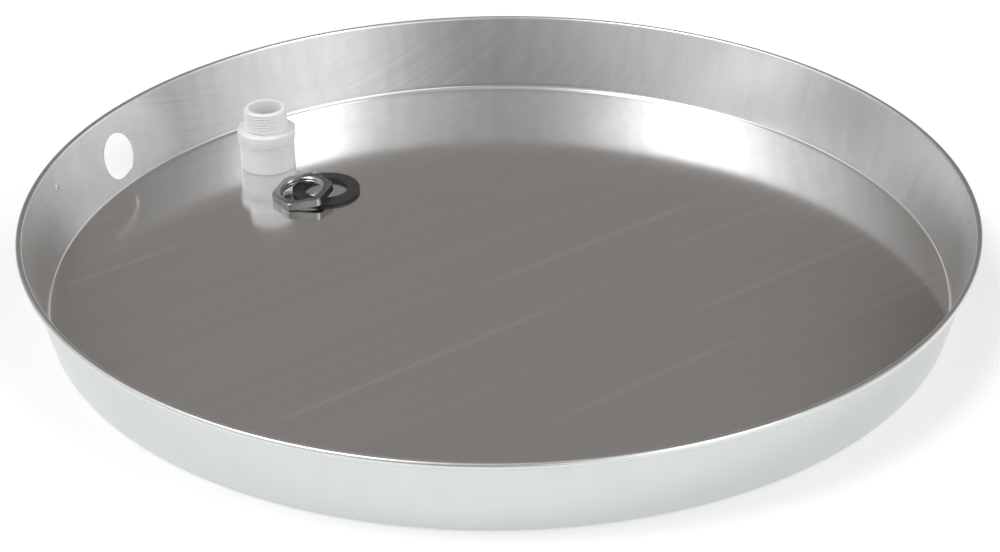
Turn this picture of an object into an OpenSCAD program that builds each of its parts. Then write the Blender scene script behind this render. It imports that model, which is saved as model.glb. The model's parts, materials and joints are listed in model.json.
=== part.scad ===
// Round drain pan for standing under a water heater, with its loose drain fittings lying in it.
// Frame: the origin is on the underside at the pan's centre, +Z is up and -X points to the drain hole.

/* [Pan] */
// Diameter over the curled rim
rim_d = 660; // [500:5:760]
// Height from the underside to the top of the rim
pan_depth = 58; // [50:1:75]
// Thickness of the sheet
sheet_t = 0.8; // [0.6:0.1:1.0]
// Lean of the wall away from vertical, in degrees
wall_lean = 13; // [8:0.5:18]
// Inside radius of the bend between floor and wall
bend_r = 2.6; // [2:0.2:4]
// Diameter over the rolled curl of the rim
curl_d = 4.5; // [4:0.1:6]

/* [Drain hole] */
// Diameter of the punched hole
drain_d = 35; // [34.6:0.1:36]
// Height of the hole's centre on the wall's inner face
drain_z = 25.8; // [24:0.2:30]

/* [Drain adapter] */
// Distance of the adapter's axis in from the rim, along X
adapter_in = 94.3; // [80:0.1:110]
// Distance of the adapter's axis from the drain's centre line, along Y
adapter_off = 78.7; // [76:0.1:90]
// Major diameter of the male thread
thread_d = 33.4; // [33:0.1:34]
// Pitch of the thread
thread_pitch = 2.209; // [2:0.001:2.4]
// Depth of the thread
thread_depth = 1.4; // [1:0.1:1.6]
// Length of the threaded end above the collar
thread_l = 17.5; // [15:0.5:19]
// Height of the collar
collar_h = 9; // [7:0.5:12]
// Size of the collar across its eight flats
collar_flats = 43; // [42.4:0.1:45]
// Outside diameter of the socket
socket_outer_d = 42; // [41:0.1:42.2]
// Inside diameter of the socket, which takes a pipe
socket_d = 33.4; // [33:0.1:34]
// Thickness of the ledge between the socket's end and the thread
ledge_t = 2.5; // [2:0.1:4]
// Whole height of the adapter
adapter_h = 48.5; // [46:0.5:56]
// Diameter of the waterway
waterway_d = 25; // [22:0.5:26]

/* [Rubber washer] */
// Distance of the washer's axis in from the rim, along X
washer_in = 157.6; // [152:0.1:180]
// Distance of the washer's axis from the drain's centre line, along Y
washer_off = 57.2; // [40:0.1:60]
// Outside diameter of the washer
washer_outer_d = 51; // [48:0.5:52]
// Diameter of the washer's hole
washer_hole_d = 33; // [32:0.5:34]
// Thickness of the washer
washer_t = 3; // [2:0.1:4]

/* [Locknut] */
// Distance between the nut's and the washer's axes, seen from above
nut_reach = 20.35; // [18:0.05:22]
// Direction in which the nut is raised, in degrees
nut_rise_angle = 62.1; // [30:0.1:90]
// Size across the six flats
nut_flats = 40.6; // [40:0.1:41]
// Diameter to which the six corners are turned
nut_corners_d = 46; // [45:0.1:46.4]
// Thickness of the nut
nut_t = 6; // [5:0.5:7]
// Diameter at the crests of the nut's inside thread
nut_bore_d = 31; // [30.8:0.1:32]

/* [Hidden] */
$fn = 96;

// Solids that join run into each other by this much, and cutters stick out by it
overlap = 0.05;

// Gap that stands in for the contact between a lying piece and what it lies on
resting_gap = 0.1;

rim_r = rim_d / 2;
curl_r = curl_d / 2;
curl_inner_r = curl_r - sheet_t;
curl_centre = [rim_r - curl_r, pan_depth - curl_r];

// The wall's inner face is tangent to the bend and to the curl, whose centres lie on opposite sides of it
bend_outer_r = bend_r + sheet_t;
wall_l = (curl_centre[1] - bend_outer_r + (bend_r + curl_r) * sin(wall_lean)) / cos(wall_lean);
bend_centre = [
    curl_centre[0] - (bend_r + curl_r) * cos(wall_lean) - wall_l * sin(wall_lean),
    bend_outer_r
];

// The curl is open underneath, over this much of a turn from the wall, in degrees
curl_gap = 78;

drain_r = bend_centre[0] + (bend_r + (drain_z - bend_centre[1]) * sin(wall_lean)) / cos(wall_lean);
drain_cutter_l = 40;

floor_z = sheet_t + resting_gap;

thread_root_r = thread_d / 2 - thread_depth;
thread_relief = 0.8;
thread_chamfer = 0.6;
thread_turns = floor((thread_l - thread_relief - thread_chamfer) / thread_pitch);
thread_z = adapter_h - thread_l;

// Where a ridge leaves the root, reaches the crest, leaves it and is back at the root, as shares of the pitch
ridge_form = [[thread_root_r, 0.08], [thread_d / 2, 0.38], [thread_d / 2, 0.62], [thread_root_r, 0.92]];

collar_z = thread_z - collar_h;
collar_corners_d = collar_flats + 2.2;
socket_l = thread_z - ledge_t;

nut_chamfer = 0.9;
nut_countersink = 1.2;
nut_mouth_r = nut_bore_d / 2 + nut_countersink;

// The nut stands on the lower edge of one flat and leans on the washer's rim, which it touches where the rim
// passes under the nut's mouth, this far from the nut's axis towards the washer's
nut_lean_at = (nut_reach ^ 2 + nut_mouth_r ^ 2 - (washer_outer_d / 2) ^ 2) / (2 * nut_reach);
nut_tilt = asin((washer_t + resting_gap) / (nut_flats / 2 + nut_lean_at));
nut_z = floor_z + nut_flats / 2 * sin(nut_tilt);

// Half a flat's turn brings that flat square to the direction in which the nut is raised
nut_turn = 30;

// The part of the profile plane between two directions from its origin, less than a right angle apart
module sector(from, to, reach) {
    intersection() {
        rotate(from)
            square(reach);
        rotate(to)
            translate([0, -reach])
                square(reach);
    }
}

// A ring between two radii in the profile plane
module ring(outer, inner) {
    difference() {
        circle(r = outer);
        circle(r = inner);
    }
}

// The profile has the radius as x and the height as y
module floor_profile() {
    square([bend_centre[0], sheet_t]);
}

// The bend, the wall and the curl are drawn from the bend's centre
module bend_profile() {
    intersection() {
        ring(bend_outer_r, bend_r);
        sector(-90, -wall_lean, 2 * bend_outer_r);
    }
}

module wall_profile() {
    rotate(-wall_lean)
        translate([bend_r, 0])
            square([sheet_t, wall_l]);
}

module curl_profile() {
    rotate(-wall_lean)
        translate([bend_r + curl_r, wall_l])
            difference() {
                ring(curl_r, curl_inner_r);
                sector(180, 180 + curl_gap, 2 * curl_r);
            }
}

module drain_hole() {
    translate([-drain_r, 0, drain_z])
        rotate([0, -90 - wall_lean, 0])
            cylinder(h = drain_cutter_l, d = drain_d, center = true);
}

module pan() {
    color("lightsteelblue")
        difference() {
            rotate_extrude() {
                floor_profile();
                translate(bend_centre) {
                    bend_profile();
                    wall_profile();
                    curl_profile();
                }
            }
            drain_hole();
        }
}

// The threaded end is turned from ring ridges, which stand in for the helical thread
module adapter_thread() {
    ridges = [
        for (i = [0:thread_turns - 1])
            for (p = ridge_form)
                [p[0], thread_z + thread_relief + (i + p[1]) * thread_pitch]
    ];
    rotate_extrude()
        polygon(concat(
            [[0, thread_z - overlap], [thread_root_r, thread_z - overlap]],
            ridges,
            [
                [thread_root_r, adapter_h - thread_chamfer],
                [thread_root_r - thread_chamfer, adapter_h],
                [0, adapter_h]
            ]
        ));
}

module adapter_collar() {
    translate([0, 0, collar_z])
        intersection() {
            cylinder(h = collar_h, d = collar_flats / cos(22.5), $fn = 8);
            cylinder(h = collar_h, d = collar_corners_d);
        }
}

module adapter_bores() {
    translate([0, 0, -overlap])
        cylinder(h = socket_l + overlap, d = socket_d);
    cylinder(h = adapter_h + overlap, d = waterway_d);
}

module drain_adapter() {
    color("white")
        translate([adapter_in - rim_r, adapter_off, floor_z])
            difference() {
                union() {
                    cylinder(h = collar_z + overlap, d = socket_outer_d);
                    adapter_collar();
                    adapter_thread();
                }
                adapter_bores();
            }
}

module rubber_washer() {
    color("dimgray")
        translate([washer_in - rim_r, washer_off, floor_z])
            difference() {
                cylinder(h = washer_t, d = washer_outer_d);
                translate([0, 0, -overlap])
                    cylinder(h = washer_t + 2 * overlap, d = washer_hole_d);
            }
}

module nut_body() {
    intersection() {
        cylinder(h = nut_t, d = nut_flats / cos(30), $fn = 6);
        rotate_extrude()
            polygon([
                [0, 0],
                [nut_corners_d / 2 - nut_chamfer, 0],
                [nut_corners_d / 2, nut_chamfer / 2],
                [nut_corners_d / 2, nut_t - nut_chamfer / 2],
                [nut_corners_d / 2 - nut_chamfer, nut_t],
                [0, nut_t]
            ]);
    }
}

module nut_bore() {
    translate([0, 0, -overlap])
        cylinder(h = nut_t + 2 * overlap, d = nut_bore_d);
    rotate_extrude()
        polygon([
            [0, -overlap],
            [nut_mouth_r + overlap, -overlap],
            [nut_bore_d / 2, nut_countersink],
            [nut_bore_d / 2, nut_t - nut_countersink],
            [nut_mouth_r + overlap, nut_t + overlap],
            [0, nut_t + overlap]
        ]);
}

module locknut() {
    toward_washer = nut_reach * [cos(nut_rise_angle), sin(nut_rise_angle)];
    color("silver")
        translate([washer_in - rim_r, washer_off, nut_z] - [toward_washer[0], toward_washer[1], 0])
            rotate([0, 0, nut_rise_angle])
                rotate([0, -nut_tilt, 0])
                    rotate([0, 0, nut_turn])
                        difference() {
                            nut_body();
                            nut_bore();
                        }
}

pan();
drain_adapter();
rubber_washer();
locknut();
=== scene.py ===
import json
import math

import bmesh
import bpy
import numpy as np
from mathutils import Matrix, Vector, noise


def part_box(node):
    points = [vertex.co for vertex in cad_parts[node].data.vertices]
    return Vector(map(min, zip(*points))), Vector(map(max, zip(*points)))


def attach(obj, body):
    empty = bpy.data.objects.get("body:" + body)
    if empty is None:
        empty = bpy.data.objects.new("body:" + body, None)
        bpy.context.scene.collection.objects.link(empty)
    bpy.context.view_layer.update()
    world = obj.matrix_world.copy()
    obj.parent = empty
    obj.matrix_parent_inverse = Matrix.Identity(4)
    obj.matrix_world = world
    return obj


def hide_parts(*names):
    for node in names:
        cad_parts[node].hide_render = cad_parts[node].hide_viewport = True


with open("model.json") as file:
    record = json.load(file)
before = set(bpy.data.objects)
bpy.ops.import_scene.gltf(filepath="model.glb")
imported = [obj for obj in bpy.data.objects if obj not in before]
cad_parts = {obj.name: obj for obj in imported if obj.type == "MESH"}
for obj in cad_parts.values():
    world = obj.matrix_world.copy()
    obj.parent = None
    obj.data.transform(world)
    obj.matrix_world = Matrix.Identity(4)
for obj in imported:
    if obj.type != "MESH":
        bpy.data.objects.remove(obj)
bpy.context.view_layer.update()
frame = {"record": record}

MM = 0.001
TAU = 2 * math.pi
QUARTER = math.pi / 2


# ---------------------------------------------------------------- sizes shared by several parts

def mount(name):
    """The record's mount of that name."""
    return next(m for m in frame["record"]["mounts"] if m["name"] == name)


def middle(node):
    """The middle of a CAD node's box."""
    low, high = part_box(node)
    return (Vector(low) + Vector(high)) / 2


PAN_LOW, PAN_HIGH = (Vector(v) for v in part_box("pan"))
RIM_R = (PAN_HIGH.x - PAN_LOW.x) / 2
DEPTH = PAN_HIGH.z
FLOOR_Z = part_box("drain_adapter")[0][2]
THREAD_PITCH = 25.4 * MM / 11.5

# Where the main view looks from, round the pan and above the floor
VIEW_AZIMUTH = math.radians(25.93)
VIEW_ELEVATION = math.radians(28.98)


# ---------------------------------------------------------------- shader node helpers

def math_node(tree, operation, *values):
    """The output of a maths node whose inputs are numbers or other outputs."""
    node = tree.nodes.new("ShaderNodeMath")
    node.operation = operation
    for socket, value in zip(node.inputs, values):
        if isinstance(value, (int, float)):
            socket.default_value = value
        else:
            tree.links.new(value, socket)
    return node.outputs[0]


def vector_node(tree, operation, *values):
    """A vector maths node whose inputs are fixed vectors or other outputs."""
    node = tree.nodes.new("ShaderNodeVectorMath")
    node.operation = operation
    for socket, value in zip(node.inputs, values):
        if isinstance(value, bpy.types.NodeSocket):
            tree.links.new(value, socket)
        else:
            socket.default_value = value
    return node


def map_range(tree, value, source, target, interpolation="SMOOTHSTEP"):
    """value mapped from the source range to the target range and held at its ends."""
    ramp = tree.nodes.new("ShaderNodeMapRange")
    ramp.interpolation_type = interpolation
    tree.links.new(value, ramp.inputs["Value"])
    ramp.inputs["From Min"].default_value = source[0]
    ramp.inputs["From Max"].default_value = source[1]
    ramp.inputs["To Min"].default_value = target[0]
    ramp.inputs["To Max"].default_value = target[1]
    return ramp.outputs["Result"]


# Most of a noise texture's values lie in this range
NOISE_RANGE = (0.3, 0.7)


def spread(tree, value, low, high):
    """A noise's value mapped to the range low to high."""
    return map_range(tree, value, NOISE_RANGE, (low, high), "LINEAR")


def stretched_noise(tree, source, scale, detail=4, roughness=0.6):
    """Noise over source with its own scale along each axis."""
    mapping = tree.nodes.new("ShaderNodeMapping")
    mapping.inputs["Scale"].default_value = scale
    tree.links.new(source, mapping.inputs["Vector"])
    texture = tree.nodes.new("ShaderNodeTexNoise")
    texture.inputs["Scale"].default_value = 1
    texture.inputs["Detail"].default_value = detail
    texture.inputs["Roughness"].default_value = roughness
    tree.links.new(mapping.outputs["Vector"], texture.inputs["Vector"])
    return texture.outputs["Fac"]


def even_noise(tree, source, scale, detail=4, roughness=0.6):
    """Noise over source with the same scale along each axis."""
    return stretched_noise(tree, source, (scale, scale, scale), detail, roughness)


def blend_colours(tree, factor, one, other):
    """A colour that goes from one to other as factor goes from 0 to 1."""
    mix = tree.nodes.new("ShaderNodeMix")
    mix.data_type = "RGBA"
    tree.links.new(factor, mix.inputs["Factor"])
    mix.inputs["A"].default_value = (*one, 1)
    mix.inputs["B"].default_value = (*other, 1)
    return mix.outputs["Result"]


def add_bump(tree, shader, height, strength, distance):
    """Gives the shader a bump that follows height, distance metres deep at full strength."""
    bump = tree.nodes.new("ShaderNodeBump")
    bump.inputs["Strength"].default_value = strength
    bump.inputs["Distance"].default_value = distance
    tree.links.new(height, bump.inputs["Height"])
    tree.links.new(bump.outputs["Normal"], shader.inputs["Normal"])


def new_material(name):
    """A new material, its node tree and its shader."""
    mat = bpy.data.materials.new(name)
    mat.use_nodes = True
    return mat, mat.node_tree, mat.node_tree.nodes["Principled BSDF"]


# ---------------------------------------------------------------- camera, stage and light

LENS_MM = 80.53
SENSOR_MM = 36
FRAME_SHIFT = (0.0006, -0.0046)
VIEW_ROLL = math.radians(-0.584)
VIEW_DISTANCE = 4.783 * RIM_R

STAGE_HALF_SIDE = 40
STAGE_GAP = 0.2 * MM
STAGE_GREY = 0.72
STAGE_GLOW = 0.38

# Each glow: direction from the main view towards its right and elevation, in degrees, sharpness and
# strength. The last two are small dark patches behind the pan, which its floor mirrors at its two ends.
GLOWS = (
    (-73, 62, 65, 10.7),
    (70, 57, 90, 5.3),
    (0, 90, 14, 0.36),
    (-94, 27, 7.4, 0.7),
    (-44, 17, 7.4, 0.5),
    (38, 26, 25, 0.95),
    (17, 27, 60, 0.8),
    (60, 22, 7.5, 0.95),
    (118, 5, 19, 0.95),
    (164.5, 31, 500, -0.17),
    (-163, 30, 500, -0.15),
)
GLOW_COLOUR = (0.98, 1.0, 1.03)
ROOM_COLOUR = (0.242, 0.228, 0.2155)


def seen_from(azimuth, elevation):
    """Unit direction from the pan to a viewer; azimuth 0 is -Y and grows towards +X."""
    return Vector((
        math.sin(azimuth) * math.cos(elevation),
        -math.cos(azimuth) * math.cos(elevation),
        math.sin(elevation),
    ))


def make_camera():
    data = bpy.data.cameras.new("camera")
    data.sensor_width = SENSOR_MM
    data.lens = LENS_MM
    data.shift_x, data.shift_y = FRAME_SHIFT
    data.clip_end = 100
    camera = bpy.data.objects.new("camera", data)
    back = seen_from(VIEW_AZIMUTH, VIEW_ELEVATION)
    roll = Matrix.Rotation(VIEW_ROLL, 4, "Z")
    turn = back.to_track_quat("Z", "Y").to_matrix().to_4x4()
    camera.matrix_world = Matrix.Translation(back * VIEW_DISTANCE) @ turn @ roll
    bpy.context.scene.collection.objects.link(camera)
    bpy.context.scene.camera = camera


def make_stage():
    """A plain white floor just under the pan."""
    side = STAGE_HALF_SIDE
    corners = [(-side, -side, 0), (side, -side, 0), (side, side, 0), (-side, side, 0)]
    mesh = bpy.data.meshes.new("stage_floor")
    mesh.from_pydata(corners, [], [(0, 1, 2, 3)])
    floor = new_object("stage_floor", mesh)
    floor.location.z = -STAGE_GAP
    mat, _, shader = new_material("stage_white")
    shader.inputs["Base Color"].default_value = (STAGE_GREY, STAGE_GREY, STAGE_GREY, 1)
    shader.inputs["Roughness"].default_value = 0.9
    shader.inputs["Specular IOR Level"].default_value = 0.1
    shader.inputs["Emission Color"].default_value = (1, 1, 1, 1)
    shader.inputs["Emission Strength"].default_value = STAGE_GLOW
    mesh.materials.append(mat)


def make_world():
    """A dim, slightly warm room with soft lamps high on both sides and lesser glows round it."""
    world = bpy.data.worlds.new("studio")
    bpy.context.scene.world = world
    world.use_nodes = True
    tree = world.node_tree
    direction = tree.nodes.new("ShaderNodeTexCoord").outputs["Generated"]
    total = 0
    for azimuth, elevation, sharpness, strength in GLOWS:
        toward = seen_from(VIEW_AZIMUTH + math.radians(azimuth), math.radians(elevation))
        dot = vector_node(tree, "DOT_PRODUCT", direction, toward)
        falloff = math_node(tree, "MULTIPLY_ADD", dot.outputs["Value"], sharpness, -sharpness)
        glow = math_node(tree, "EXPONENT", falloff)
        total = math_node(tree, "MULTIPLY_ADD", glow, strength, total)
    colour = vector_node(tree, "MULTIPLY_ADD", total, GLOW_COLOUR, ROOM_COLOUR)
    tree.links.new(colour.outputs["Vector"], tree.nodes["Background"].inputs["Color"])


# ---------------------------------------------------------------- mesh helpers

def new_object(name, mesh):
    """A new object in the scene."""
    piece = bpy.data.objects.new(name, mesh)
    bpy.context.scene.collection.objects.link(piece)
    return piece


def smooth_with_creases(mesh, crease):
    """Shades the mesh smooth, except along edges that bend by more than crease degrees."""
    work = bmesh.new()
    work.from_mesh(mesh)
    bmesh.ops.recalc_face_normals(work, faces=work.faces)
    limit = math.radians(crease)
    for face in work.faces:
        face.smooth = True
    for edge in work.edges:
        edge.smooth = edge.calc_face_angle(0) < limit
    work.to_mesh(mesh)
    work.free()


def remove_loose_points(mesh):
    """Deletes the points that no face uses."""
    work = bmesh.new()
    work.from_mesh(mesh)
    loose = [v for v in work.verts if not v.link_faces]
    bmesh.ops.delete(work, geom=loose, context="VERTS")
    work.to_mesh(mesh)
    work.free()


def arc(centre, radius, start, end, steps):
    """Points of an arc in the profile plane, both ends included."""
    angles = np.linspace(start, end, steps + 1)
    return [(centre[0] + radius * math.cos(a), centre[1] + radius * math.sin(a)) for a in angles]


def ring_faces(lower, upper, count):
    """Quads between two rings of count points that start at these indices."""
    return [
        (lower + i, lower + (i + 1) % count, upper + (i + 1) % count, upper + i)
        for i in range(count)
    ]


def band_mesh(name, rows):
    """A closed ring-shaped mesh from a loop of rows; each row is (radii round the axis, height)."""
    count = len(rows[0][0])
    angles = np.arange(count) * TAU / count
    verts = []
    faces = []
    for k, (radii, z) in enumerate(rows):
        verts += zip(radii * np.cos(angles), radii * np.sin(angles), np.broadcast_to(z, count))
        faces += ring_faces(k * count, ((k + 1) % len(rows)) * count, count)
    mesh = bpy.data.meshes.new(name)
    mesh.from_pydata(verts, [], faces)
    return mesh


# ---------------------------------------------------------------- pan

SHEET = 0.8 * MM
LEAN = math.radians(13)
BEND_R = 2.6 * MM
CURL_R = 2.25 * MM
CURL_END = math.radians(245)
DRAIN_R = mount("drain_port")["dims"]["r_mm"] * MM
DRAIN_Z = 25.8 * MM

# Unit directions in the profile plane
INTO_PAN = (-math.cos(LEAN), math.sin(LEAN))
UP_WALL = (math.sin(LEAN), math.cos(LEAN))

CURL_CENTRE = (RIM_R - CURL_R, DEPTH - CURL_R)
WALL_TOP = (CURL_CENTRE[0] + CURL_R * INTO_PAN[0], CURL_CENTRE[1] + CURL_R * INTO_PAN[1])
BEND_CENTRE_Z = SHEET + BEND_R
WALL_LOW_Z = BEND_CENTRE_Z - BEND_R * INTO_PAN[1]
WALL_LOW_R = WALL_TOP[0] - (WALL_TOP[1] - WALL_LOW_Z) * math.tan(LEAN)
BEND_CENTRE = (WALL_LOW_R + BEND_R * INTO_PAN[0], BEND_CENTRE_Z)
WALL_LENGTH = (WALL_TOP[1] - WALL_LOW_Z) / math.cos(LEAN)

# Lengths along the flat blank, from its centre outwards
BEND_LENGTH = (BEND_R + SHEET / 2) * (QUARTER - LEAN)
WALL_START = BEND_CENTRE[0] + BEND_LENGTH
CURL_START = WALL_START + WALL_LENGTH
CURL_LENGTH = CURL_R * (math.pi - LEAN + TAU - CURL_END)

# Places on the wall are given by the angle round the pan and the distance up the wall's slope
DRAIN_SPOT = (math.pi, (DRAIN_Z - WALL_LOW_Z) / math.cos(LEAN))

# A small dent in the wall beside the drain hole, pushed into the pan
DIMPLE_Z = 41.8 * MM
DIMPLE_SPOT = (math.radians(195.85), (DIMPLE_Z - WALL_LOW_Z) / math.cos(LEAN))
DIMPLE_R = 2.6 * MM
DIMPLE_PUSH = 0.5 * MM

# How finely the sheet is divided
COLUMNS = 480
FLOOR_RINGS = 30
FIRST_RING_R = 12 * MM
BEND_STEPS = 8
WALL_ROWS = 14
CURL_STEPS = 26

# A row this close to the ends of the floor and the wall keeps their shading flat up to the bend and the
# curl. The even rows stop further from those ends.
SUPPORT = 0.35 * MM
FLOOR_END_GAP = 4 * MM
WALL_END_GAP = 2.4 * MM

# The hole's edges are broken by this much, and its straight part lies between these shares of the sheet
HOLE_EDGE = 0.12 * MM
HOLE_SHARES = (0.15, 0.85)

# The rolling lines of the sheet run in this direction over the flat floor
ROLLING = math.radians(64)

# Heights of the slight waves left in the floor and in the wall
FLOOR_WAVE = 0.045 * MM
WALL_WAVE = 0.22 * MM


def floor_wave(x, y):
    """Height of the slight waves left in the flat floor, never below zero."""
    height = noise.noise(Vector((x * 7, y * 7, 3.1))) + 0.4 * noise.noise(Vector((x * 17, y * 17, 8.4)))
    edge = 1 - math.hypot(x, y) / BEND_CENTRE[0]
    return FLOOR_WAVE * (1 + height / 1.4) * min(1.0, max(0.0, edge) * 8)


def wall_wave(angle, s):
    """How far the wall bows out at a place on it."""
    around = Vector((math.cos(angle) * 2.6, math.sin(angle) * 2.6, s * 14))
    inside = math.sin(math.pi * min(1.0, max(0.0, s / WALL_LENGTH)))
    return WALL_WAVE * noise.noise(around) * inside


def wall_point(angle, s, depth):
    """A point at angle round the pan, s up the wall's slope and depth into the sheet."""
    depth += wall_wave(angle, s)
    r = WALL_LOW_R + s * UP_WALL[0] - depth * INTO_PAN[0]
    z = WALL_LOW_Z + s * UP_WALL[1] - depth * INTO_PAN[1]
    return (r * math.cos(angle), r * math.sin(angle), z)


def round_spot(spot, radius, turn, depth):
    """Where a cylinder on the wall's normal at spot meets the wall, as a place like spot.
    turn goes round the cylinder."""
    middle_angle, middle_s = spot
    middle_r = WALL_LOW_R + middle_s * UP_WALL[0]
    s = middle_s + radius * math.sin(turn)
    for _ in range(6):
        r = WALL_LOW_R + s * UP_WALL[0] - depth * INTO_PAN[0]
        side = math.asin(radius * math.cos(turn) / r)
        up = (r * math.cos(side) - middle_r) * UP_WALL[0]
        up += ((s - middle_s) * UP_WALL[1] - depth * INTO_PAN[1]) * UP_WALL[1]
        s += radius * math.sin(turn) - up
    return middle_angle + side, s


def pan_profile():
    """The sheet's section from the middle of the floor, over the wall and rim, and back underneath.
    Each entry is (radius, height, length along the blank, slope distance or None, depth into the sheet,
    share of the outer face's finish)."""
    entries = []

    def add(place, length, outside, s=None, depth=0.0):
        entries.append((place[0], place[1], length, s, depth, outside))

    floor_radii = list(np.linspace(FIRST_RING_R, BEND_CENTRE[0] - FLOOR_END_GAP, FLOOR_RINGS))
    floor_radii.append(BEND_CENTRE[0] - SUPPORT)
    wall_steps = [SUPPORT]
    wall_steps += list(np.linspace(WALL_END_GAP, WALL_LENGTH - WALL_END_GAP, WALL_ROWS - 1))
    wall_steps.append(WALL_LENGTH - SUPPORT)
    bend_outer_r = BEND_R + SHEET
    curl_inner_r = CURL_R - SHEET
    curl_from = math.pi - LEAN
    curl_to = CURL_END - TAU

    for r in floor_radii:
        add((r, SHEET), r, 0)
    for i, place in enumerate(arc(BEND_CENTRE, BEND_R, -QUARTER, -LEAN, BEND_STEPS)):
        add(place, BEND_CENTRE[0] + BEND_LENGTH * i / BEND_STEPS, 0)
    for s in wall_steps:
        add((0, 0), WALL_START + s, 0, s, 0.0)
    for i, place in enumerate(arc(CURL_CENTRE, CURL_R, curl_from, curl_to, CURL_STEPS)):
        add(place, CURL_START + CURL_LENGTH * i / CURL_STEPS, i / CURL_STEPS)
    for i, place in enumerate(arc(CURL_CENTRE, curl_inner_r, curl_to, curl_from, CURL_STEPS)):
        add(place, CURL_START + CURL_LENGTH * (1 - i / CURL_STEPS), 1)
    for s in reversed(wall_steps):
        add((0, 0), WALL_START + s, 1, s, SHEET)
    for i, place in enumerate(arc(BEND_CENTRE, bend_outer_r, -LEAN, -QUARTER, BEND_STEPS)):
        add(place, WALL_START - BEND_LENGTH * i / BEND_STEPS, 1)
    for r in reversed(floor_radii):
        add((r, 0), r, 1)
    return entries


def blank_place(angle, length):
    """The place on the flat blank, with the first coordinate across the rolling lines."""
    turned = angle - ROLLING
    return (length * math.sin(turned), length * math.cos(turned))


def pan_ring_point(entry, angle):
    """The point of a profile entry at angle round the pan."""
    r, z, _, s, depth, _ = entry
    if s is not None:
        return wall_point(angle, s, depth)
    x, y = r * math.cos(angle), r * math.sin(angle)
    if r < BEND_CENTRE[0]:
        z += floor_wave(x, y)
    return (x, y, z)


class PanSheet:
    """Collects the pan's points, their places on the blank and its faces."""

    def __init__(self):
        self.entries = pan_profile()
        self.verts = []
        self.blanks = []
        self.outside = []
        self.faces = []

    def add_point(self, place, blank, outside):
        self.verts.append(place)
        self.blanks.append(blank)
        self.outside.append(outside)
        return len(self.verts) - 1

    def add_wall_point(self, angle, s, depth):
        blank = blank_place(angle, WALL_START + s)
        return self.add_point(wall_point(angle, s, depth), blank, depth / SHEET)

    def add_rings(self, holes):
        """The whole revolved sheet, without the wall cells that holes take out."""
        centre = self.add_point((0, 0, SHEET + floor_wave(0, 0)), (0, 0), 0)
        for entry in self.entries:
            for i in range(COLUMNS):
                angle = TAU * i / COLUMNS
                place = pan_ring_point(entry, angle)
                self.add_point(place, blank_place(angle, entry[2]), entry[5])
        below = self.add_point((0, 0, floor_wave(0, 0)), (0, 0), 1)
        for k in range(len(self.entries) - 1):
            for i, quad in enumerate(ring_faces(1 + k * COLUMNS, 1 + (k + 1) * COLUMNS, COLUMNS)):
                if not any(hole.takes(self.entries, k, i) for hole in holes):
                    self.faces.append(quad)
        last = below - COLUMNS
        for i in range(COLUMNS):
            after = (i + 1) % COLUMNS
            self.faces.append((centre, 1 + i, 1 + after))
            self.faces.append((below, last + after, last + i))

    def join(self, one, two):
        """Quads between two closed rings of the same length."""
        count = len(one)
        for i in range(count):
            after = (i + 1) % count
            self.faces.append((one[i], one[after], two[after], two[i]))


class WallPatch:
    """A block of wall cells replaced by rings that close in from the block's edge to a circle."""

    def __init__(self, spot, radius, columns, first_step, last_step):
        self.spot = spot
        self.radius = radius
        self.first_column = round(spot[0] / TAU * COLUMNS) - columns // 2
        self.columns = columns
        self.first_step = first_step
        self.last_step = last_step

    def rows_on(self, entries, depth):
        """Indices of the profile's rows that the block spans on one face of the wall."""
        wall = [k for k, e in enumerate(entries) if e[3] is not None and e[4] == depth]
        if depth > 0:
            wall.reverse()
        return wall[self.first_step:self.last_step + 1]

    def takes(self, entries, row, column):
        """Whether the cell after this row and column is one of the block's."""
        if not self.first_column <= column < self.first_column + self.columns:
            return False
        for depth in (0.0, SHEET):
            rows = self.rows_on(entries, depth)
            if row in rows and row + 1 in rows:
                return True
        return False

    def border(self, entries, depth):
        """The block's edge as (row, column) pairs, anticlockwise seen from inside the pan."""
        rows = self.rows_on(entries, depth)
        tall = len(rows) - 1
        wide = self.columns
        steps = [(0, c) for c in range(wide)] + [(r, wide) for r in range(tall)]
        steps += [(tall, c) for c in range(wide, 0, -1)] + [(r, 0) for r in range(tall, 0, -1)]
        return [(rows[r], self.first_column + c) for r, c in steps]

    def close_in(self, sheet, depth, rings):
        """Adds the rings on one face. Returns the innermost and its points' directions round it."""
        border = self.border(sheet.entries, depth)
        ring = [1 + row * COLUMNS + column for row, column in border]
        places = [(TAU * column / COLUMNS, sheet.entries[row][3]) for row, column in border]
        middle_r = WALL_LOW_R + self.spot[1] * UP_WALL[0]
        turns = [math.atan2(s - self.spot[1], (angle - self.spot[0]) * middle_r) for angle, s in places]
        targets = [round_spot(self.spot, self.radius, turn, depth) for turn in turns]
        for k in range(1, rings + 1):
            blend = 1 - (1 - k / rings) ** 1.5
            inner = []
            for place, target in zip(places, targets):
                angle = place[0] + (target[0] - place[0]) * blend
                s = place[1] + (target[1] - place[1]) * blend
                inner.append(sheet.add_wall_point(angle, s, depth))
            sheet.join(ring, inner)
            ring = inner
        return ring, turns


def add_drain_hole(sheet, patch):
    """Lines the drain hole through the sheet, with its edges very slightly broken."""
    inner, turns = patch.close_in(sheet, 0.0, rings=8)
    outer, _ = patch.close_in(sheet, SHEET, rings=8)
    for share in HOLE_SHARES:
        ring = []
        for turn in turns:
            angle, s = round_spot(patch.spot, DRAIN_R, turn, SHEET * share)
            ring.append(sheet.add_wall_point(angle, s, SHEET * share))
        sheet.join(inner, ring)
        inner = ring
    sheet.join(inner, outer)


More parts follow.
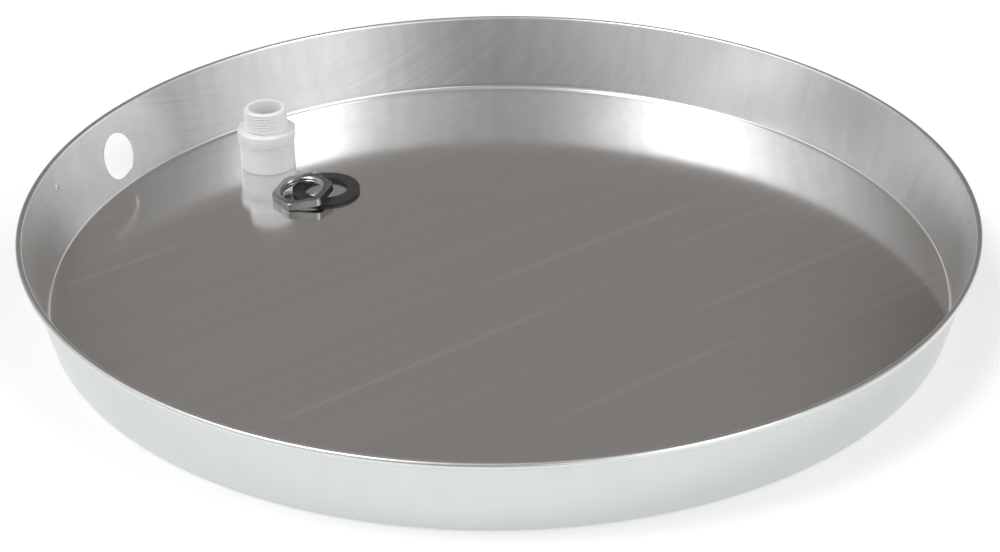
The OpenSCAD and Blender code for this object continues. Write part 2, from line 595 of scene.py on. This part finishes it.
def add_dimple(sheet, patch):
    """Fills a patch with a small round bump that leans into the pan."""
    for depth in (0.0, SHEET):
        ring, turns = patch.close_in(sheet, depth, rings=4)
        for share in (0.8, 0.6, 0.4, 0.2):
            rise = DIMPLE_PUSH * (0.5 + 0.5 * math.cos(math.pi * share))
            smaller = []
            for turn in turns:
                angle, s = round_spot(patch.spot, patch.radius * share, turn, depth)
                index = sheet.add_wall_point(angle, s, depth)
                sheet.verts[index] = wall_point(angle, s, depth - rise)
                smaller.append(index)
            sheet.join(ring, smaller)
            ring = smaller
        tip = sheet.add_wall_point(*patch.spot, depth)
        sheet.verts[tip] = wall_point(*patch.spot, depth - DIMPLE_PUSH)
        for i in range(len(ring)):
            sheet.faces.append((ring[i], ring[(i + 1) % len(ring)], tip))


def make_pan():
    sheet = PanSheet()
    hole = WallPatch(DRAIN_SPOT, DRAIN_R + HOLE_EDGE, columns=18, first_step=0, last_step=WALL_ROWS)
    dimple = WallPatch(DIMPLE_SPOT, DIMPLE_R, columns=6, first_step=6, last_step=12)
    sheet.add_rings([hole, dimple])
    add_drain_hole(sheet, hole)
    add_dimple(sheet, dimple)

    mesh = bpy.data.meshes.new("pan_sheet")
    mesh.from_pydata(sheet.verts, [], sheet.faces)
    corners = np.zeros(len(mesh.loops), dtype=np.int32)
    mesh.loops.foreach_get("vertex_index", corners)
    layer = mesh.uv_layers.new(name="blank")
    layer.data.foreach_set("uv", np.asarray(sheet.blanks)[corners].ravel())
    outside = mesh.attributes.new("outside", "FLOAT", "POINT")
    outside.data.foreach_set("value", np.asarray(sheet.outside, dtype=np.float32))
    remove_loose_points(mesh)
    smooth_with_creases(mesh, crease=50)
    return new_object("drain_pan_sheet", mesh)


# ---------------------------------------------------------------- helpers for the loose pieces

def round_angles(count):
    """count even steps round an axis, and a row of ones as long."""
    angles = np.arange(count) * TAU / count
    return angles, np.ones_like(angles)


def polygon_radii(angles, sides, flats, corners, offset):
    """Radius of a polygon with turned-off corners, blended a little where flat and turned parts meet."""
    wedge = TAU / sides
    local = (angles - offset + wedge / 2) % wedge - wedge / 2
    flat = flats / 2 / np.cos(local)
    sharpness = 6 / MM
    return -np.logaddexp(-sharpness * flat, -sharpness * corners / 2) / sharpness


# A thread is drawn with rows this far apart
THREAD_ROW = 0.12 * MM

# A thread's ridge is a triangle that is made higher, sunk, and cut off flat at its root and its crest
RIDGE_RISE = 1.3
RIDGE_SINK = 0.12


def ridge(phase):
    """Height of a thread's ridge, from 0 at the root to 1 at the crest, over one pitch."""
    return np.clip(RIDGE_RISE * (1 - 2 * np.abs(phase % 1 - 0.5)) - RIDGE_SINK, 0, 1)


# ---------------------------------------------------------------- drain adapter

ADAPTER_H = 48.5 * MM
THREAD_L = 17.5 * MM
THREAD_R = mount("adapter_thread")["dims"]["r_mm"] * MM
THREAD_DEPTH = 1.4 * MM
COLLAR_H = 9 * MM
COLLAR_FLATS = 43 * MM
COLLAR_CORNERS = 45.1 * MM
SOCKET_OUTER_R = 21 * MM
SOCKET_R = mount("adapter_socket")["dims"]["r_mm"] * MM
SOCKET_L = 28.5 * MM
WATERWAY_R = 12.5 * MM

THREAD_Z = ADAPTER_H - THREAD_L
COLLAR_Z = THREAD_Z - COLLAR_H
ROOT_R = THREAD_R - THREAD_DEPTH
ADAPTER_COLUMNS = 256

# Radii of the moulding's rounded edges and corners
FOOT_EDGE = 0.25 * MM
COLLAR_EDGE = 0.45 * MM
INNER_CORNER = 0.5 * MM
THREAD_CORNER = 0.6 * MM

# The parting line stands proud by its height over a narrow strip on two sides. The body under it is drawn
# smaller by SEAM_ROOM, so that the line stays inside the CAD's outline.
SEAM_H = 0.04 * MM
SEAM_HALF_WIDTH = 0.25 * MM
SEAM_ROOM = 0.05 * MM

# The thread narrows towards its top as pipe threads do. Its ridge rises out of the root over this height.
THREAD_TAPER = 1 / 32
THREAD_RUN_IN = 1.6 * MM

# The chamfer at the thread's top would meet the top face this far inside the root. Its edge is rounded off
# through two points, each so far inside the root and so far below the top.
TOP_CHAMFER = 0.5 * MM
TOP_ROUNDING = ((0.9 * MM, 0.1 * MM), (1.1 * MM, 0))

# Even rows of the body start and stop this far from its foot and its collar, and the thread's rows this
# far from the collar and the top
BODY_MARGINS = (3 * MM, 0.8 * MM)
THREAD_MARGINS = (0.7 * MM, 0.3 * MM)

# The socket's inner corner and its mouth, which is opened by a chamfer with a broken edge
SOCKET_CORNER = 0.3 * MM
MOUTH_CHAMFER = 1.1 * MM
MOUTH_EDGE = 0.1 * MM


def adapter_body_rows(angles, whole):
    """The socket's outside, with a fine parting line on two sides, from its foot up to the collar."""
    seam = SEAM_H * np.exp(-(np.sin(angles) * SOCKET_OUTER_R / SEAM_HALF_WIDTH) ** 2)
    body = (SOCKET_OUTER_R - SEAM_ROOM) * whole + seam
    rows = []
    for r, z in arc((0, FOOT_EDGE), FOOT_EDGE, -QUARTER, 0, 5):
        rows.append((body - FOOT_EDGE + r, z))
    for z in np.linspace(BODY_MARGINS[0], COLLAR_Z - BODY_MARGINS[1], 10):
        rows.append((body, z))
    for r, z in arc((INNER_CORNER, COLLAR_Z - INNER_CORNER), INNER_CORNER, math.pi, QUARTER, 4):
        rows.append((body + r, z))
    return rows


def adapter_collar_rows(angles):
    """The collar's eight flats with their rounded edges."""
    collar = polygon_radii(angles, 8, COLLAR_FLATS, COLLAR_CORNERS, TAU / 16)
    rows = []
    for r, z in arc((-COLLAR_EDGE, COLLAR_Z + COLLAR_EDGE), COLLAR_EDGE, -QUARTER, 0, 4):
        rows.append((collar + r, z))
    for r, z in arc((-COLLAR_EDGE, THREAD_Z - COLLAR_EDGE), COLLAR_EDGE, 0, QUARTER, 4):
        rows.append((collar + r, z))
    return rows


def adapter_thread_rows(angles, whole):
    """One helical ridge that runs out at the collar and is cut by the chamfer at the top."""
    corner = (ROOT_R + THREAD_CORNER, THREAD_Z + THREAD_CORNER)
    rows = []
    for r, z in arc(corner, THREAD_CORNER, -QUARTER, -math.pi, 3):
        rows.append((r * whole, z))
    for z in np.arange(THREAD_Z + THREAD_MARGINS[0], ADAPTER_H - THREAD_MARGINS[1], THREAD_ROW):
        run_in = min(1.0, (z - THREAD_Z) / THREAD_RUN_IN)
        taper = (z - THREAD_Z) * THREAD_TAPER
        radii = ROOT_R - taper + THREAD_DEPTH * run_in * ridge(z / THREAD_PITCH - angles / TAU)
        cone = ROOT_R - TOP_CHAMFER + (ADAPTER_H - z)
        rows.append((np.minimum(radii, cone), z))
    for inside, below in TOP_ROUNDING:
        rows.append(((ROOT_R - inside) * whole, ADAPTER_H - below))
    return rows


def adapter_inside_rows(whole):
    """The waterway, the ledge and the socket, from the top down."""
    corner_r = WATERWAY_R + INNER_CORNER
    rows = []
    for r, z in arc((corner_r, ADAPTER_H - INNER_CORNER), INNER_CORNER, QUARTER, math.pi, 4):
        rows.append((r * whole, z))
    for r, z in arc((corner_r, SOCKET_L + INNER_CORNER), INNER_CORNER, math.pi, 3 * QUARTER, 4):
        rows.append((r * whole, z))
    rows.append(((SOCKET_R - SOCKET_CORNER) * whole, SOCKET_L))
    rows.append((SOCKET_R * whole, SOCKET_L - SOCKET_CORNER))
    rows.append((SOCKET_R * whole, MOUTH_EDGE + MOUTH_CHAMFER))
    rows.append(((SOCKET_R + MOUTH_CHAMFER) * whole, MOUTH_EDGE))
    rows.append(((SOCKET_R + MOUTH_CHAMFER + 2 * MOUTH_EDGE) * whole, 0))
    return rows


def make_adapter():
    angles, whole = round_angles(ADAPTER_COLUMNS)
    rows = adapter_body_rows(angles, whole)
    rows += adapter_collar_rows(angles)
    rows += adapter_thread_rows(angles, whole)
    rows += adapter_inside_rows(whole)
    mesh = band_mesh("drain_adapter", rows)
    smooth_with_creases(mesh, crease=35)
    piece = new_object("drain_adapter_moulding", mesh)
    centre = middle("drain_adapter")
    piece.location = (centre.x, centre.y, FLOOR_Z)
    return piece


# ---------------------------------------------------------------- rubber washer

WASHER_OUTER_R = 25.5 * MM
WASHER_HOLE_R = 16.5 * MM
WASHER_T = 3 * MM
WASHER_EDGE = 0.5 * MM
WASHER_COLUMNS = 192

# The flash line is a thin ridge round the middle of the outside
FLASH_H = 0.06 * MM
FLASH_HALF_WIDTH = 0.15 * MM

# The flash line stays inside the CAD's outer radius by this much
WASHER_ROOM = 0.01 * MM

# Shallow rings moulded into the upper face
RING_DEPTH = 0.05 * MM
RING_PITCH = 1.5 * MM
RING_MARGIN = 1.2 * MM

# How far the washer is out of round
WASHER_WANDER = 0.08 * MM


def washer_section():
    """The washer's section: rounded edges, a flash line outside and moulding rings on the upper face."""
    edge = WASHER_EDGE
    outer = WASHER_OUTER_R - FLASH_H - WASHER_ROOM
    section = arc((outer - edge, edge), edge, -QUARTER, 0, 5)
    section.append((outer, WASHER_T / 2 - FLASH_HALF_WIDTH))
    section.append((outer + FLASH_H, WASHER_T / 2))
    section.append((outer, WASHER_T / 2 + FLASH_HALF_WIDTH))
    section += arc((outer - edge, WASHER_T - edge), edge, 0, QUARTER, 5)
    for r in np.linspace(outer - RING_MARGIN, WASHER_HOLE_R + RING_MARGIN, 24):
        section.append((r, WASHER_T - RING_DEPTH * (1 + math.cos(TAU * r / RING_PITCH)) / 2))
    section += arc((WASHER_HOLE_R + edge, WASHER_T - edge), edge, QUARTER, math.pi, 5)
    section += arc((WASHER_HOLE_R + edge, edge), edge, math.pi, 3 * QUARTER, 5)
    return section


def make_washer():
    angles, whole = round_angles(WASHER_COLUMNS)
    wander = WASHER_WANDER * np.sin(2 * angles + 0.7) - WASHER_WANDER
    rows = [(r * whole + wander, z) for r, z in washer_section()]
    mesh = band_mesh("rubber_washer", rows)
    smooth_with_creases(mesh, crease=50)
    piece = new_object("rubber_washer_ring", mesh)
    centre = middle("rubber_washer")
    piece.location = (centre.x, centre.y, FLOOR_Z)
    return piece


# ---------------------------------------------------------------- locknut

NUT_FLATS = 40.6 * MM
NUT_CORNERS = 46 * MM
NUT_T = 6 * MM
NUT_BORE_R = 15.5 * MM
NUT_CHAMFER = 0.9 * MM
NUT_EDGE = 0.25 * MM
NUT_COUNTERSINK = 1.2 * MM
NUT_THREAD_DEPTH = 1.15 * MM
NUT_COLUMNS = 240

# The drawn hexagon is this much smaller across than the stated one, so that it stays inside the CAD's
NUT_ROOM = 0.05 * MM

# The corners' chamfer runs outwards this many times as far as it goes along the axis. Rows at these
# heights from each face draw it.
CHAMFER_SLOPE = 2
CHAMFER_ROWS = (0.35 * MM, 0.45 * MM, 0.8 * MM)

# The nut leans on the washer: where it rises towards, how far it tilts, and the flat it stands on
NUT_RISE = math.radians(62.1)
NUT_TILT = math.radians(8.35)
NUT_TURN = math.radians(30)


def nut_side_rows(angles):
    """The nut's outside from the lower face up, with the same chamfered edge at both faces."""
    hexagon = polygon_radii(angles, 6, NUT_FLATS - NUT_ROOM, NUT_CORNERS - NUT_ROOM, TAU / 12)
    face_r = NUT_CORNERS / 2 - NUT_CHAMFER - NUT_ROOM
    lower = []
    for r, z in arc((-NUT_EDGE, NUT_EDGE), NUT_EDGE, -QUARTER, 0, 4):
        lower.append((np.minimum(hexagon + r, face_r + CHAMFER_SLOPE * z), z))
    for z in CHAMFER_ROWS:
        lower.append((np.minimum(hexagon, face_r + CHAMFER_SLOPE * z), z))
    upper = [(radii, NUT_T - z) for radii, z in reversed(lower)]
    return lower + upper


def nut_bore_rows(angles):
    """The threaded bore with its countersinks, from the upper face down."""
    rows = []
    for z in np.arange(NUT_T, -0.01 * MM, -THREAD_ROW):
        from_face = min(z, NUT_T - z)
        cone = NUT_BORE_R + max(0.0, NUT_COUNTERSINK - from_face)
        radii = NUT_BORE_R + NUT_THREAD_DEPTH * ridge(z / THREAD_PITCH - angles / TAU)
        rows.append((np.maximum(radii, cone), max(0.0, z)))
    return rows


def make_nut():
    angles, _ = round_angles(NUT_COLUMNS)
    mesh = band_mesh("locknut", nut_side_rows(angles) + nut_bore_rows(angles))
    smooth_with_creases(mesh, crease=35)
    tilt = Matrix.Rotation(NUT_RISE, 4, "Z") @ Matrix.Rotation(-NUT_TILT, 4, "Y")
    foot = middle("locknut") - tilt @ Vector((0, 0, NUT_T / 2))
    foot.z = FLOOR_Z + NUT_FLATS / 2 * math.sin(NUT_TILT)
    mesh.transform(Matrix.Translation(foot) @ tilt @ Matrix.Rotation(NUT_TURN, 4, "Z"))
    return new_object("locknut_plate", mesh)


# ---------------------------------------------------------------- materials

# Light scuffs along the rolling lines. Each lies so many mm across the lines from the pan's centre,
# between two distances in mm along them, and has its own strength.
SCUFFS = (
    (-65, -230, -10, 1.0),
    (-10, -15, 170, 1.0),
    (-175, -85, 60, 0.8),
    (-130, 70, 220, 0.8),
    (-50, 115, 230, 0.5),
    (175, -230, -160, 0.8),
)
SCUFF_HALF_WIDTH = 5 * MM
SCUFF_FADE = 50 * MM

SHEET_SHINE = 0.81

# The drawn wall's finish fades in over this stretch of the blank
DRAWN_STRETCH = (WALL_START - 2 * MM, WALL_START + 4 * MM)

# The drawn wall and the outside lose this share of the grain and are this much rougher
GRAIN_LOST = 0.7
DULLED_ROUGHNESS = 0.11

# The outside loses this share of the marks that drawing left on the wall
MARKS_LOST = 0.65

# The outside's tint is darker than the inside's. The darkening is painted shade for the dimmer floor the
# outside mirrors, and the slight cool cast is the sheet's own colour.
INSIDE_TINT = (1, 1, 0.995)
OUTSIDE_TINT_AND_SHADE = (0.83, 0.856, 0.852)


def distance_from(tree, value, place):
    """How far value is from a fixed place."""
    return math_node(tree, "ABSOLUTE", math_node(tree, "SUBTRACT", value, place))


def scuffs(tree, place):
    """How scuffed the sheet is at a place on the blank."""
    axes = tree.nodes.new("ShaderNodeSeparateXYZ")
    tree.links.new(place, axes.inputs[0])
    total = 0
    for across, start, end, strength in SCUFFS:
        aside = distance_from(tree, axes.outputs["X"], across * MM)
        along = distance_from(tree, axes.outputs["Y"], (start + end) / 2 * MM)
        half = (end - start) / 2 * MM
        fade_out = (half - SCUFF_FADE / 2, half + SCUFF_FADE / 2)
        thin = map_range(tree, aside, (0, SCUFF_HALF_WIDTH), (strength, 0))
        within = map_range(tree, along, fade_out, (1, 0))
        total = math_node(tree, "MULTIPLY_ADD", thin, within, total)
    return total


def sheet_shine(tree, place, lines, drawn, dulled, outside):
    """The sheet's brightness, with its grain, its scuffs and the marks that drawing left on its wall."""
    bands = stretched_noise(tree, place, (40, 0.7, 1), detail=3)
    grain = spread(tree, lines, -0.015, 0.025)
    grain = math_node(tree, "ADD", grain, spread(tree, bands, -0.015, 0.015))
    worn = math_node(tree, "MULTIPLY", scuffs(tree, place), spread(tree, lines, 0.05, 0.1))
    grain = math_node(tree, "ADD", grain, worn)
    kept = math_node(tree, "MULTIPLY_ADD", dulled, -GRAIN_LOST, 1)
    shine = math_node(tree, "MULTIPLY_ADD", grain, kept, SHEET_SHINE)

    # Faint upright marks on the drawn wall, mostly inside
    upright = tree.nodes.new("ShaderNodeTexCoord").outputs["Object"]
    marks = stretched_noise(tree, upright, (70, 70, 3), detail=3)
    marked = math_node(tree, "MULTIPLY_ADD", outside, -MARKS_LOST, 1)
    marked = math_node(tree, "MULTIPLY", marked, drawn)
    return math_node(tree, "MULTIPLY_ADD", spread(tree, marks, -0.035, 0.035), marked, shine)


def pan_material():
    """Rolled sheet: a soft mirror with fine lines, duller on its drawn wall and its outside, with painted
    shade darkening its outside.
    """
    mat, tree, shader = new_material("pan_aluminium")
    shader.inputs["Metallic"].default_value = 1
    shader.inputs["Anisotropic"].default_value = 0.5
    tangent = tree.nodes.new("ShaderNodeTangent")
    tangent.direction_type = "UV_MAP"
    tangent.uv_map = "blank"
    tree.links.new(tangent.outputs["Tangent"], shader.inputs["Tangent"])

    blank = tree.nodes.new("ShaderNodeUVMap")
    blank.uv_map = "blank"
    place = blank.outputs["UV"]
    span = vector_node(tree, "LENGTH", place).outputs["Value"]
    drawn = map_range(tree, span, DRAWN_STRETCH, (0, 1))
    attribute = tree.nodes.new("ShaderNodeAttribute")
    attribute.attribute_name = "outside"
    outside = attribute.outputs["Fac"]
    dulled = math_node(tree, "MAXIMUM", drawn, outside)
    lines = stretched_noise(tree, place, (450, 3, 1))

    shine = sheet_shine(tree, place, lines, drawn, dulled, outside)
    # The outside's darker tint is painted shade.
    tint = blend_colours(tree, outside, INSIDE_TINT, OUTSIDE_TINT_AND_SHADE)
    colour = vector_node(tree, "MULTIPLY", shine, tint)
    tree.links.new(colour.outputs["Vector"], shader.inputs["Base Color"])
    rough = spread(tree, lines, 0.10, 0.15)
    rough = math_node(tree, "MULTIPLY_ADD", dulled, DULLED_ROUGHNESS, rough)
    tree.links.new(rough, shader.inputs["Roughness"])
    add_bump(tree, shader, lines, strength=0.03, distance=0.1 * MM)
    return mat


def plastic_material():
    """White rigid plastic that lets a little light in, with fine scuffs."""
    mat, tree, shader = new_material("white_plastic")
    shader.inputs["IOR"].default_value = 1.53
    shader.inputs["Subsurface Weight"].default_value = 0.35
    shader.inputs["Subsurface Radius"].default_value = (1, 0.95, 0.9)
    shader.inputs["Subsurface Scale"].default_value = 2.5 * MM
    place = tree.nodes.new("ShaderNodeTexCoord").outputs["Object"]
    cloud = even_noise(tree, place, 60, detail=3)
    grain = stretched_noise(tree, place, (900, 900, 300))
    tint = blend_colours(tree, spread(tree, cloud, 0, 1), (0.90, 0.91, 0.905), (0.95, 0.955, 0.95))
    tree.links.new(tint, shader.inputs["Base Color"])
    tree.links.new(spread(tree, grain, 0.28, 0.42), shader.inputs["Roughness"])
    add_bump(tree, shader, grain, strength=0.1, distance=0.05 * MM)
    return mat


def rubber_material():
    """Dark rubber with a little bloom and dust on it."""
    mat, tree, shader = new_material("washer_rubber")
    place = tree.nodes.new("ShaderNodeTexCoord").outputs["Object"]
    dust = even_noise(tree, place, 260, detail=6, roughness=0.7)
    grain = even_noise(tree, place, 2500, detail=3)
    dusty = map_range(tree, dust, (0.45, 0.75), (0, 1), "LINEAR")
    tint = blend_colours(tree, dusty, (0.015, 0.015, 0.016), (0.055, 0.053, 0.05))
    tree.links.new(tint, shader.inputs["Base Color"])
    tree.links.new(spread(tree, dust, 0.42, 0.62), shader.inputs["Roughness"])
    add_bump(tree, shader, grain, strength=0.25, distance=0.05 * MM)
    return mat


def plating_material():
    """Bright plating over stamped steel."""
    mat, tree, shader = new_material("bright_plating")
    shader.inputs["Metallic"].default_value = 1
    place = tree.nodes.new("ShaderNodeTexCoord").outputs["Object"]
    cloud = even_noise(tree, place, 150)
    grain = even_noise(tree, place, 1200)
    tint = blend_colours(tree, spread(tree, cloud, 0, 1), (0.32, 0.32, 0.315), (0.44, 0.44, 0.43))
    tree.links.new(tint, shader.inputs["Base Color"])
    tree.links.new(spread(tree, grain, 0.10, 0.20), shader.inputs["Roughness"])
    add_bump(tree, shader, grain, strength=0.15, distance=0.05 * MM)
    return mat


# ---------------------------------------------------------------- the scene

def finish_piece(piece, material, body, node):
    """Gives a piece its material, ties it to its body and hides the CAD node it stands for."""
    piece.data.materials.append(material)
    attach(piece, body)
    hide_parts(node)


make_camera()
make_stage()
make_world()
bpy.context.scene.view_settings.view_transform = "Standard"

finish_piece(make_pan(), pan_material(), "pan", "pan")
finish_piece(make_adapter(), plastic_material(), "adapter", "drain_adapter")
finish_piece(make_washer(), rubber_material(), "washer", "rubber_washer")
finish_piece(make_nut(), plating_material(), "nut", "locknut")
